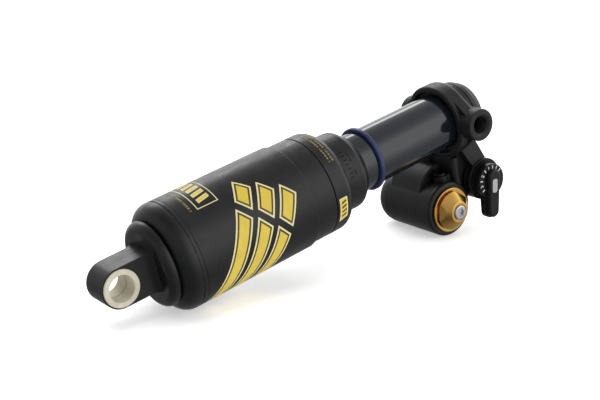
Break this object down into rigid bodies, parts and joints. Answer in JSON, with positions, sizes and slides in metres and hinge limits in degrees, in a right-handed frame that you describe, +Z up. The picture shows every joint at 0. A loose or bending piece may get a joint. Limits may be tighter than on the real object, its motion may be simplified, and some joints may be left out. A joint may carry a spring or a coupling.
{
  "type": "rear shock absorber",
  "caption": "Trunnion-mount rear air shock with a sliding air can, an eyelet, a polished damper tube and a crosswise reservoir with adjusters.",
  "frame": {"origin": "centre of the eyelet's bore", "axes": "+X towards the head, +Y along the eyelet's bore and away from the adjusters, +Z up, with the shock leaned as it lies on a bench"},
  "size_m": [0.2392, 0.0622, 0.0819],
  "materials": {
    "casting_black": "satin black anodised forging",
    "anodised_black": "matte black anodised",
    "shaft_black": "polished black hard anodised",
    "gold_anodised": "satin gold anodised",
    "blue_anodised": "satin blue anodised",
    "blue_rubber": "matte",
    "cream_polymer": "satin",
    "black_rubber": "matte",
    "bearing_polymer": "satin",
    "machined_aluminium": "turned",
    "steel": "machined",
    "badge_silver": "satin",
    "valve_brass": "nickel-plated",
    "valve_cap_black": "matte"
  },
  "bodies": {
    "head": {"head_casting": "casting_black", "damper_tube": "shaft_black", "inner_tube": "machined_aluminium", "base_valve": "machined_aluminium", "tube_oring": "black_rubber", "air_piston": "machined_aluminium", "air_piston_seal": "black_rubber", "air_piston_band": "bearing_polymer", "rod_wiper": "black_rubber", "rod_bush": "bearing_polymer", "rod_seal": "black_rubber", "bleed_screw": "steel", "reservoir_body": "anodised_black", "reservoir_rear_cap": "anodised_black", "reservoir_cap_oring": "black_rubber", "reservoir_clip": "steel", "gas_fill_screw": "steel", "rebound_cartridge": "machined_aluminium", "detent_spring": "steel", "detent_ball": "steel", "compression_cartridge": "anodised_black"},
    "air_spring": {"eyelet_cap": "anodised_black", "eyelet_bush_front": "cream_polymer", "eyelet_bush_rear": "cream_polymer", "air_can": "anodised_black", "can_oring": "black_rubber", "bottom_out_bumper": "black_rubber", "damper_rod": "steel", "top_out_bumper": "black_rubber", "compression_shims": "steel", "main_piston": "machined_aluminium", "main_piston_band": "bearing_polymer", "rebound_shims": "steel", "piston_nut": "steel", "seal_head": "anodised_black", "seal_head_oring": "black_rubber", "guide_bush": "bearing_polymer", "shaft_seal": "black_rubber", "shaft_wiper": "black_rubber", "air_valve_body": "valve_brass"},
    "travel_indicator": {"travel_ring": "blue_rubber"},
    "gas_piston": {"floating_piston": "machined_aluminium", "floating_piston_oring": "black_rubber"},
    "rebound_adjuster": {"rebound_knob": "gold_anodised", "rebound_screw": "steel", "rebound_needle": "steel"},
    "high_speed_adjuster": {"compression_lever": "anodised_black", "lever_badge": "badge_silver", "high_speed_needle": "steel"},
    "low_speed_adjuster": {"low_speed_knob": "blue_anodised", "low_speed_screw": "steel", "low_speed_needle": "steel"},
    "valve_cover": {"valve_cap": "valve_cap_black"},
    "valve_core": {"air_valve_pin": "valve_brass"}
  },
  "joints": [
    {"name": "shock_stroke", "type": "slide", "parent": "head", "child": "air_spring", "axis": [0.9783, 0, 0.2074], "range_m": [0, 0.0575], "stiffness_N_per_m": 8000, "springref_m": -0.004},
    {"name": "travel_ring_slide", "type": "slide", "parent": "head", "child": "travel_indicator", "axis": [0.9783, 0, 0.2074], "range_m": [0, 0.0491]},
    {"name": "gas_piston_slide", "type": "slide", "parent": "head", "child": "gas_piston", "axis": [0, 1, 0], "range_m": [0, 0.0092]},
    {"name": "rebound_knob_turn", "type": "hinge", "parent": "head", "child": "rebound_adjuster", "pos_m": [0.1945, -0.01, -0.00517], "axis": [0, -1, 0], "range_deg": [-157.5, 157.5]},
    {"name": "high_speed_lever_turn", "type": "hinge", "parent": "head", "child": "high_speed_adjuster", "pos_m": [0.21819, -0.015, 0.00752], "axis": [0, -1, 0], "range_deg": [0, 80]},
    {"name": "low_speed_knob_turn", "type": "hinge", "parent": "head", "child": "low_speed_adjuster", "pos_m": [0.21819, 0.012, 0.00752], "axis": [0, 1, 0], "range_deg": [-180, 180]},
    {"name": "valve_cap_turn", "type": "hinge", "parent": "air_spring", "child": "valve_cover", "pos_m": [0.09205, 0.0159, -0.00649], "axis": [0.1759, 0.5299, -0.8296], "continuous": true},
    {"name": "valve_pin_press", "type": "slide", "parent": "air_spring", "child": "valve_core", "axis": [-0.1759, -0.5299, 0.8296], "range_m": [0, 0.0008], "stiffness_N_per_m": 100}
  ],
  "couplings": [
    {"joint": "travel_ring_slide", "follows": "shock_stroke", "ratio": 0.85391},
    {"joint": "gas_piston_slide", "follows": "shock_stroke", "ratio": 0.16}
  ]
}
